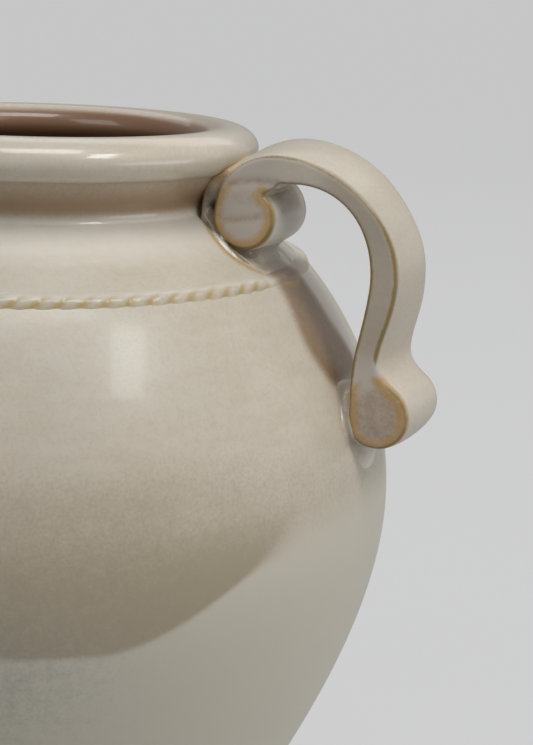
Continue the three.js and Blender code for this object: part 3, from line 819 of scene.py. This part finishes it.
def wall_masks(piece):
    """Works out the glaze masks for a turned piece; its two sides are half a turn apart."""
    x, y, z = points_of(piece).T
    side, across, radius = np.abs(x), y * np.sign(x), np.hypot(x, y)
    below_seat, above_seat = z < SEAT_HEIGHT, z > SEAT_HEIGHT
    touch = ease(strap_distance(side, y, z), *TOUCH_REACH)
    touch = touch * ease(z, *COLLAR_TOUCH)
    undercut = undercut_shade(z)
    inner = ease(body_distance(radius, z), *BORE_DEPTH) * (z < SEAT_HEIGHT + 1 * MM)
    mouth = ease(radius, *MOUTH_SPAN) * above_seat
    # painted light: the hollow of the neck below the collar is painted paler
    hollow = ease(z, *NECK_HOLLOW) * (1 - undercut)
    lip = 0.45 * ease(radius, *LIP_SPAN) * above_seat
    # painted shade in the undercut; the tan at the lip is thin glaze
    tan_and_shade = undercut * (0.97 - 0.4 * ease(z, NECK_HEIGHT + 5 * MM, SEAT_HEIGHT))
    fringe = pad_fringe(UPPER_JOINT, side, y, z)
    set_mask(piece, "inside", np.maximum(inner, mouth))
    set_mask(piece, "thin_glaze_and_shade", 0.85 * painted_strap_shade(across, z))
    # painted shade and reflection of the straps, in brown
    set_mask(piece, "tan_and_shade", np.maximum(tan_and_shade, lip))
    # pale is painted light: the neck's hollow and a run just past each strap's shade
    set_mask(piece, "pale", np.maximum(0.6 * hollow * below_seat, 0.9 * painted_light_run(across, z)))
    set_mask(piece, "edge", np.maximum(0.75 * touch, 0.7 * fringe))
    # a dark line of pooled glaze and painted shade beside the lower pad
    set_mask(piece, "pool_and_shade", 0.12 * pad_fringe(LOWER_JOINT, side, y, z))


# %% [markdown]
# ## The belly
# The lower section is thrown from one lump, floor and wall together. The skin goes up the outside,
# over the join and down the inside to the floor, so the jar is hollow when seen through its mouth.

# %% The belly
FLOOR_THICKNESS, FLOOR_BEND_HEIGHT = 9 * MM, 16 * MM
FLOOR_BEND, FLOOR_FLAT = (-7 * MM, -8 * MM), (FOOT_RADIUS - 20 * MM, 0)
inner_curve = sideways(belly_curve, WALL)[::3]
inner_curve = inner_curve[inner_curve[:, 1] > FOOT_HEIGHT + FLOOR_BEND_HEIGHT][::-1]
floor_curve = drawn(inner_curve[-1], FLOOR_BEND, (0, FOOT_HEIGHT + FLOOR_THICKNESS), FLOOR_FLAT, 16)
belly_outline = np.vstack([[(0, FOOT_HEIGHT)], belly_curve, inner_curve, floor_curve[1:]])
belly = turned_skin("belly_wall", belly_outline, stray=0.12 * MM, closed=False)
wall_masks(belly)
lap_masks(belly)
finish_piece(belly, body_glaze, "belly_glaze", "belly")

# %% [markdown]
# ## The neck and shoulder
# The upper section is a second thrown ring, luted onto the belly. Its outline is closed, outside
# and bore together, so the wall has its real thickness where the mouth shows it. Blender's Solidify
# could thicken a single skin, but it would keep one thickness where the real wall flares.

# %% The neck and shoulder
JOIN_WALL = 12 * MM
mouth, throat = (BORE + 2 * MM, SEAT_HEIGHT + 0.6 * MM), (BORE, NECK_HEIGHT)
bore_top = drawn(mouth, (-2 * MM, -4.6 * MM), throat, (0, 4 * MM), 14)
flare_end = (JOIN_RADIUS - JOIN_WALL, JOIN_HEIGHT)
bore_flare = bezier(throat, (BORE, NECK_HEIGHT - 7 * MM),
                    (BORE + 7.5 * MM, NECK_HEIGHT - 12 * MM), flare_end, 20)
bore_curve = np.vstack([bore_top, bore_flare[1:]])
neck = turned_skin("neck_and_shoulder", np.vstack([neck_curve, bore_curve]), stray=0.1 * MM)
wall_masks(neck)
finish_piece(neck, shoulder_glaze, "shoulder_glaze", "neck_shoulder")

# %% [markdown]
# ## The rolled collar
# The collar is a thick coil thrown onto the neck, so its section is nearly a whole circle that is
# cut flat where it sits. It is turned like the rest; a torus would lack the flat seat.

# %% The rolled collar
collar = turned_skin("rolled_collar", roll_curve, stray=0.12 * MM)
wall_masks(collar)
finish_piece(collar, shoulder_glaze, "shoulder_glaze", "rim_collar")

# %% [markdown]
# ## The foot ring
# The foot is trimmed from the base once the clay is firm, and wiped clean of glaze so that it
# doesn't stick to the kiln shelf. Its lower corners are a little rounded by the turning tool.

# %% The foot ring
FOOT_WIDTH, FOOT_CHAMFER, FOOT_TOP = 10 * MM, 1.5 * MM, FOOT_HEIGHT + 0.2 * MM
foot = turned_skin("foot_ring_clay", [
    (FOOT_RADIUS - FOOT_WIDTH + FOOT_CHAMFER, 0), (FOOT_RADIUS - FOOT_CHAMFER, 0),
    (FOOT_RADIUS - 0.4 * MM, 0.5 * MM), (FOOT_RADIUS, 1.6 * MM), (FOOT_RADIUS, FOOT_TOP),
    (FOOT_RADIUS - FOOT_WIDTH, FOOT_TOP), (FOOT_RADIUS - FOOT_WIDTH, FOOT_CHAMFER)])
finish_piece(foot, clay, "bare_clay", "foot_ring")

# %% [markdown]
# ## The tooled band
# A thin strip of clay hides the lute joint. The edge of a tool is pressed into its lower half again
# and again, leaning all one way, so the nicks read as a twisted cord.

# %% The tooled band
TICKS = 86
TICK_STEPS = 12
BAND_WIDTH, BAND_HEIGHT, BAND_SINK, BAND_FOOT = 5.6 * MM, 1.4 * MM, 0.12 * MM, 1.2 * MM
BAND_NEAR_STRAP = span(13, 24)
TICK_DEPTH, TICK_LEAN, TICK_PLACE, TICK_SPREAD = 0.45 * MM, 1.3, 0.26, 0.22


def unit(step):
    return step / np.linalg.norm(step)


def band_section():
    """The band's section without nicks: where its points lie, which way is out, and its arch."""
    along = unit(shoulder_curve[1] - shoulder_curve[0])
    down = unit(belly_curve[-2] - belly_curve[-1])
    share = np.linspace(0, 1, 15)
    foot = np.outer(BAND_FOOT * ease(share, 0.3, 0), down)
    arch = ease(share, 0, 0.3) * ease(share, 1, 0.4)
    seat = np.outer((1 - np.cos(math.pi * share)) / 2 * BAND_WIDTH, along)
    return share, shoulder_curve[0] + seat, foot, np.array([along[1], -along[0]]), arch


def tooled_band():
    """The band, and for each point how deep in a nick, how low and how near the crest it is."""
    share, seat, foot, out, arch = band_section()
    steps = TICKS * TICK_STEPS
    points, nicks, low_line, crest = [], [], [], []
    for i in range(steps):
        turn = 2 * math.pi * i / steps
        phase = i / TICK_STEPS - TICK_LEAN * share
        nick = (0.5 + 0.5 * np.cos(2 * math.pi * phase)) ** 1.5
        nick = nick * np.exp(-(((share - TICK_PLACE) / TICK_SPREAD) ** 2))
        away = ease(abs(JOIN_RADIUS * math.sin(turn)), *BAND_NEAR_STRAP)
        lift = BAND_HEIGHT * arch * (0.45 + 0.55 * away) - TICK_DEPTH * nick * away
        lift = lift - BAND_SINK * (1 - arch)
        spot = seat + np.outer(lift, out) + foot
        points += [(r * math.cos(turn), r * math.sin(turn), z) for r, z in spot]
        nicks += list(nick * away)
        low_line += list(ease(share, 0.3, 0.08))
        crest += list(ease(share, 0.3, 0.5) * away)
    rows = len(share)
    faces = [[i * rows + j, (i + 1) % steps * rows + j, (i + 1) % steps * rows + (j + 1) % rows,
              i * rows + (j + 1) % rows] for i in range(steps) for j in range(rows)]
    return make_piece("tooled_band_skin", points, faces), np.array([nicks, low_line, crest])


band, (nicks, low_line, crest) = tooled_band()
x, y, z = points_of(band).T
set_mask(band, "edge", np.minimum(0.35 * low_line + 0.66 * nicks, 1))
# a painted highlight along the upper half of the band
set_mask(band, "pale", 0.5 * crest * (1 - nicks))
# painted shade and reflection of the strap on the band, in brown
set_mask(band, "thin_glaze_and_shade", 0.85 * painted_strap_shade(y * np.sign(x), z))
finish_piece(band, band_glaze, "band_glaze", "tooled_band")

# %% [markdown]
# ## Handles and luting clay
# One strap and its two joints are meshed, with the masks read from the same distances. Those on the
# other side are the same shapes, half a turn round the jar.

# %% Masks of the straps
def from_place(place, x, z):
    """Distance to a place, such as the middle of a roll, seen from the side."""
    return np.hypot(x - place[0], z - place[1])


TUCKED_REACH, TUCKED_TOP = span(19, 12), STRAP_TOP_HEIGHT - 8 * MM
TUCKED_OUT, TUCKED_UP, TUCKED_ACROSS = span(4, 8), span(-8, 2), span(13, 5)


def tucked_shade(x, y, z):
    """1 on the hidden side of the upper roll: painted shade and reflection, where little glaze got in
    too.
    """
    shade = ease(from_place(TOP_SCROLL, x, z), *TUCKED_REACH) * (z < TUCKED_TOP)
    shade = shade * ease(x - TOP_SCROLL[0], *TUCKED_OUT)
    shade = shade * ease(z - TOP_SCROLL[1], *TUCKED_UP)
    return shade * ease(np.abs(y), *TUCKED_ACROSS)


LOW_NOTCH, NOTCH_REACH = LOW_SCROLL + (1 * MM, 14 * MM), span(6, 2)
EDGE_HIGHLIGHT_UP, BY_NECK, BY_COLLAR, LOW_ROLL = span(262, 286), span(96, 84), span(276, 284), span(15, 12)


def olive_corner(faces, sides, x, z):
    """How near the strap's corner is, in mm, less by the low roll and under a painted highlight."""
    corner = np.minimum(faces, sides) / MM
    corner = corner - ease(from_place(LOW_NOTCH, x, z), *NOTCH_REACH)
    # painted highlight: the corner line is paled high up and by the collar
    corner = corner - 0.3 * ease(z, *EDGE_HIGHLIGHT_UP)
    corner = corner - 0.25 * ease(x, *BY_NECK) * ease(z, *BY_COLLAR)
    return corner - 0.22 * ease(from_place(LOW_SCROLL, x, z), *LOW_ROLL)


LOW_CAP, UPPER_CAP, UPPER_CAP_UP = span(11, 7), span(12, 6), span(0, 8)


def worn_marks(x, z):
    """Thin glaze on the flat side: the curl seams, the low cap and the top of the upper one."""
    low_cap = ease(from_place(LOW_SCROLL, x, z), *LOW_CAP)
    upper = ease(from_place(TOP_SCROLL, x, z), *UPPER_CAP)
    upper = upper * ease(z - TOP_SCROLL[1], *UPPER_CAP_UP)
    return np.maximum(0.4 * seam_mark(x, z), np.maximum(0.42 * low_cap, 0.3 * upper))


ROUND_LOW, FAR_ACROSS, FAR_OUT, FAR_TOP = span(6, 13), span(5, 12), span(5, 9), 9 * MM


def painted_roll_highlight(x, y, z):
    """Painted highlight on the round of the upper roll, on its lower and its far part."""
    x, z = x - TOP_SCROLL[0], z - TOP_SCROLL[1]
    far = ease(np.abs(y), *FAR_ACROSS) * ease(x, *FAR_OUT) * (z < FAR_TOP)
    return np.maximum(ease(x - z, *ROUND_LOW), 0.7 * far)


FLAT_EDGE, RIM_REACH, RIM_ROLL = span(-1.5, 0), span(-4.2, -0.2), span(14, 11.5)
NEAR_WALL, ON_COLLAR = span(3, 0.5), span(280, 285)
BRIGHT_START, BRIGHT_END, BRIGHT_UP = span(92, 100), span(118, 106), span(276, 288)
FACE_UP, SIDE_SHADE_OUT, SIDE_SHADE_UP = span(222, 232), span(106, 118), span(226, 236)
ROLL_ROUND, PALE_FOOT = span(13, 12), 255 * MM


def strap_masks(x, y, z):
    """The masks of a strap: flat sides, amber rim, olive corner, curl marks, painted light and shade.
    """
    faces, sides = strap_parts(x, y, z)
    flat = ease(sides, *FLAT_EDGE)
    curl = np.minimum(from_place(TOP_SCROLL, x, z), from_place(LOW_SCROLL, x, z))
    rim = ease(faces, *RIM_REACH) * flat * ease(curl, *RIM_ROLL)
    touch = ease(wall_distance(x, y, z), *NEAR_WALL) * ease(z, *ON_COLLAR)
    # thin glaze on the curl marks, and painted shade on the hidden side of the upper roll
    thin_glaze_and_shade = np.maximum(flat * worn_marks(x, z), 0.3 * tucked_shade(x, y, z) * (1 - flat))
    # painted light: the lilac of the flat side is thinned high up
    bright = ease(x, *BRIGHT_START) * ease(x, *BRIGHT_END) * ease(z, *BRIGHT_UP)
    outside = 0.3 * (1 - flat) * ease(z, *FACE_UP)
    # painted shade on the outer upper part of the flat side
    painted_side_shade = 0.5 * flat * ease(x, *SIDE_SHADE_OUT) * ease(z, *SIDE_SHADE_UP)
    # a painted highlight on the round of the upper roll
    pale = painted_roll_highlight(x, y, z) * (1 - flat) * ease(curl, *ROLL_ROUND) * (z > PALE_FOOT)
    return {"edge": np.maximum(0.68 * rim, 0.7 * touch), "side": flat * (0.8 - 0.5 * bright),
            "thin_glaze_and_shade": thin_glaze_and_shade, "face": np.maximum(outside, painted_side_shade), "pale": 0.95 * pale,
            "corner": olive_corner(faces, sides, x, z)}


# %% Masks of the luting clay
CREST_RING, CREST_WIDTH = 0.985, 0.022
CREST_FOOT, CREST_HEAD = span(256, 262), span(271, 267)
RIDGE_X, RIDGE_Z, RIDGE_WIDTH = 70.8 * MM, 272.8 * MM, 0.5 * MM
RIDGE_MIDDLE, RIDGE_SPAN, RIDGE_ACROSS = 271.5 * MM, span(5, 3.5), 10 * MM
LOWER_FOOT = span(198, 192)


def painted_highlights(joint, share, x, y, z):
    """Painted highlights in milk-white: the ring and ridge of the upper clay, the foot of the lower.
    """
    if not joint.hollow:
        return 0.55 * ease(z, *LOWER_FOOT)
    crest = np.exp(-((share - CREST_RING) / CREST_WIDTH) ** 2)
    crest = crest * ease(z, *CREST_FOOT) * ease(z, *CREST_HEAD)
    line = RIDGE_X + 0.85 * np.maximum(RIDGE_Z - z, 0) + 0.46 * np.maximum(z - RIDGE_Z, 0)
    ridge = np.exp(-((x - line) / RIDGE_WIDTH) ** 2)
    ridge = ridge * ease(np.abs(z - RIDGE_MIDDLE), *RIDGE_SPAN)
    return 0.8 * np.maximum(crest, ridge * (np.abs(y) > RIDGE_ACROSS))


NECK_SIDE, NECK_SIDE_UP, NECK_CORNER = span(76, 73), span(277, 272), span(72.5, 70)


def pooled_and_shaded(joint, depth, share, x, z):
    """Pooled glaze and painted shade: in the corner, and over the bead of a hollow pad."""
    bead = joint.hollow * ease(share, 1.05, 0.98)
    pool_and_shade = np.maximum(ease(depth, 0.0, 0.4) * (0.36 + 0.64 * joint.hollow), bead)
    by_neck = ease(x, *NECK_SIDE) * ease(z, *NECK_SIDE_UP)
    return pool_and_shade * (1 - 0.45 * by_neck) * (1 - 0.8 * ease(x, *NECK_CORNER))


COLLAR_CLAY, PAD_SHADE_UP, PAD_SHADE_ACROSS = span(279, 285), span(264, 255), span(15, 8)


def luting_masks(joint):
    """A function that works out the masks of one joint's clay."""
    def masks(x, y, z):
        depth = luting(joint, x, y, z)[1]
        share = pad_share(joint, x, y, z)
        off_collar = 1 - ease(z, *COLLAR_CLAY)
        tucked = by_collar(z)
        light = 1 - (1 - 0.5 * joint.outer) * outward(joint, x - 3 * MM)
        light = light * (1 - 0.6 * tucked)
        rim = joint.hollow * np.exp(-((share - PAD_END) / 0.04) ** 2) * (1 - outward(joint, x))
        shade = joint.hollow * ease(z, *PAD_SHADE_UP) * outward(joint, x - 2 * MM)
        shade = shade * ease(np.abs(y), *PAD_SHADE_ACROSS)
        # brown is thin glaze, with painted shade past the roll and under the collar
        brown = np.maximum((0.15 + 0.2 * joint.hollow) * light, np.maximum(shade, 0.8 * tucked))
        # pool: pooled glaze and painted shade
        return {"pool_and_shade": pooled_and_shaded(joint, depth, share, x, z) * light * off_collar,
                "edge": np.maximum(0.5 * rim, 0.55 * (1 - off_collar)),
                # pale: painted highlights
                "thin_glaze_and_shade": brown * off_collar, "pale": painted_highlights(joint, share, x, y, z)}
    return masks


# %% Handles and luting clay
FINE = 0.7 * MM
STRAP_BOX = (70 * MM, 198 * MM), (149 * MM, 300 * MM)
UPPER_BOX = (60 * MM, 240 * MM), (108 * MM, 302 * MM)
LOWER_BOX = (105 * MM, 182 * MM), (148 * MM, 236 * MM)
STRAP_SPACE, CLAY_SPACE = STRAP_HALF_WIDTH + 2 * MM, 24 * MM


def opposite_pair(name, distance, masks, box, half_width, material, slot, node):
    """Meshes a piece for the right side and the same piece, half a turn round, for the left."""
    (near, bottom), (far, top) = box
    points, quads = surface_net(distance, (near, -half_width, bottom), (far, half_width, top), FINE)
    values = masks(*points.T)
    for side, sign in (("right", 1), ("left", -1)):
        piece = make_piece(f"{name}_{side}", points * (sign, sign, 1), quads)
        for mask, value in values.items():
            set_mask(piece, mask, value)
        finish_piece(piece, material, slot, f"{node}_{side}")


opposite_pair("strap_handle", pared_strap, strap_masks, STRAP_BOX, STRAP_SPACE,
              handle_glaze, "handle_glaze", "handle")
for name, joint, box, node in (("upper_luting", UPPER_JOINT, UPPER_BOX, "upper_lute"),
                               ("lower_luting", LOWER_JOINT, LOWER_BOX, "lower_lute")):
    opposite_pair(name, lambda x, y, z, joint=joint: luting(joint, x, y, z)[0], luting_masks(joint),
                  box, CLAY_SPACE, pooled_glaze, "pooled_glaze", node)

# %% [markdown]
# ## Floor and room
# The jar stands on a pale floor in an even grey room. A bright room would light the jar flat, so
# the floor and the far wall show their pale colour to the camera, and a little in the glaze, while
# they give the jar only a dim light.

# %% Floor and room
BACKDROP = (0.69, 0.69, 0.69, 1)
FAR_WALL = (0.58, 0.58, 0.58, 1)
DIM_ROOM = (0.096, 0.098, 0.104, 1)
FLOOR_REACH, FLOOR_PALE, GLAZE_SEES = 90, 0.8, 0.35


def seen_pale(flow):
    """1 for what the camera sees straight on, and a little for what it sees in the glaze."""
    direct = flow.node("ShaderNodeLightPath", output="Is Camera Ray")
    mirrored = flow.node("ShaderNodeLightPath", output="Is Glossy Ray")
    return direct + mirrored * GLAZE_SEES


floor_mesh = bpy.data.meshes.new("floor")
corners = [(x * FLOOR_REACH, y * FLOOR_REACH, 0) for x, y in ((-1, -1), (1, -1), (1, 1), (-1, 1))]
floor_mesh.from_pydata(corners, [], [(0, 1, 2, 3)])
floor = bpy.data.objects.new("floor", floor_mesh)
bpy.context.scene.collection.objects.link(floor)
floor_paint, flow, shader = new_material("floor_paint", Roughness=0.9)
plug(flow, shader, Base_Color=flow.noise(3, 3).mix(rgb(186, 187, 188), rgb(190, 191, 192)))
even = flow.node("ShaderNodeEmission", {}, {"Color": BACKDROP, "Strength": 1.0})
shown = flow.node("ShaderNodeMixShader", {}, {0: seen_pale(flow) * FLOOR_PALE,
                                              1: Flow(flow.tree, shader.outputs[0]), 2: even})
ends = flow.tree.nodes["Material Output"]
flow.tree.links.new(shown.socket, ends.inputs["Surface"])
floor_mesh.materials.append(floor_paint)

world = bpy.data.worlds.new("room")
bpy.context.scene.world = world
world.use_nodes = True
room = Flow(world.node_tree)
dim = room.node("ShaderNodeBackground", {}, {"Color": DIM_ROOM, "Strength": 1.0})
pale = room.node("ShaderNodeBackground", {}, {"Color": FAR_WALL, "Strength": 1.0})
both = room.node("ShaderNodeMixShader", {}, {0: seen_pale(room), 1: dim, 2: pale})
room.tree.links.new(both.socket, world.node_tree.nodes["World Output"].inputs["Surface"])

# %% [markdown]
# ## Camera
# The camera stands to the right of the jar's front, above its shoulder, and is turned so that only
# the right half is in the frame. Its measures were fitted to the ellipse of the mouth, the shoulder
# band and the outline, which fixes the angle far better than moving it about by eye.

# %% Camera
HANDLE_TURN = math.radians(27.8)
CAMERA_DISTANCE = 581.9 * MM
CAMERA_ABOVE_JOIN = 96.7 * MM
CAMERA_YAW = math.radians(8.38)
CAMERA_PITCH = math.radians(13.41)
CAMERA_ROLL = math.radians(2.21)
FOCAL_PIXELS = 1636
PHOTO_LONG_SIDE = 745
eye = Vector((CAMERA_DISTANCE * math.sin(HANDLE_TURN), -CAMERA_DISTANCE * math.cos(HANDLE_TURN),
              JOIN_HEIGHT + CAMERA_ABOVE_JOIN))
heading = HANDLE_TURN - CAMERA_YAW
ahead = Vector((-math.sin(heading), math.cos(heading), 0))
forward = ahead * math.cos(CAMERA_PITCH) - Vector((0, 0, math.sin(CAMERA_PITCH)))
level = forward.cross(Vector((0, 0, 1))).normalized()
upright = level.cross(forward)
side = math.cos(CAMERA_ROLL) * level + math.sin(CAMERA_ROLL) * upright
top = -math.sin(CAMERA_ROLL) * level + math.cos(CAMERA_ROLL) * upright
camera_data = bpy.data.cameras.new("camera")
camera_data.lens = FOCAL_PIXELS / PHOTO_LONG_SIDE * camera_data.sensor_width
camera = bpy.data.objects.new("camera", camera_data)
camera.matrix_world = Matrix((side, top, -forward)).transposed().to_4x4()
camera.location = eye
bpy.context.scene.collection.objects.link(camera)
bpy.context.scene.camera = camera
print("camera, m:", [round(v, 3) for v in eye], "lens, mm:", round(camera_data.lens, 1))

# %% [markdown]
# ## Lights
# Soft boxes leave soft-edged reflections, and the glaze is judged by them. One box hangs overhead,
# a narrow one at the right front draws the long gleam down the belly, and large dim boxes stand for
# the walls. Each place is given as the camera sees it: right of the jar's axis, up and beyond it.

# %% Lights
AIM = Vector((0, 0, 0.22))


def from_camera(right, up, away):
    """A place given from the jar's axis as the camera sees it, in metres."""
    return right * level + away * ahead + Vector((0, 0, up))


def soft_light(name, place, width, height, power, tilt=0):
    light = bpy.data.lights.new(name, "AREA")
    light.shape = "RECTANGLE"
    light.size, light.size_y, light.energy = width, height, power
    lamp = bpy.data.objects.new(name, light)
    lamp.location = place
    turned = (AIM - place).to_track_quat("-Z", "Y") @ Quaternion((0, 0, 1), tilt)
    lamp.rotation_euler = turned.to_euler()
    bpy.context.scene.collection.objects.link(lamp)
    print(f"{name}: {width} by {height} m, {power} W")


soft_light("overhead_box", from_camera(0.1, 1.5, -0.35), 0.6, 0.5, 5.8)
soft_light("front_strip", from_camera(0.755, 1.3, -0.66), 0.25, 0.6, 5.3, math.radians(-30))
soft_light("right_wall", from_camera(2.1, 0.9, -0.3), 3.2, 2.4, 5)
soft_light("right_back_wall", from_camera(1.8, 0.9, 1.2), 2.0, 2.4, 5.5)
soft_light("right_low_wall", from_camera(1.9, 0.3, -0.7), 1.6, 0.5, 6.5)
soft_light("back_box", from_camera(0, 1.6, 1.4), 2.5, 1.0, 6.5)
soft_light("left_box", from_camera(-1.1, 1.4, -1.1), 1.0, 1.0, 6.6)
bpy.context.scene.view_settings.view_transform = "Standard"
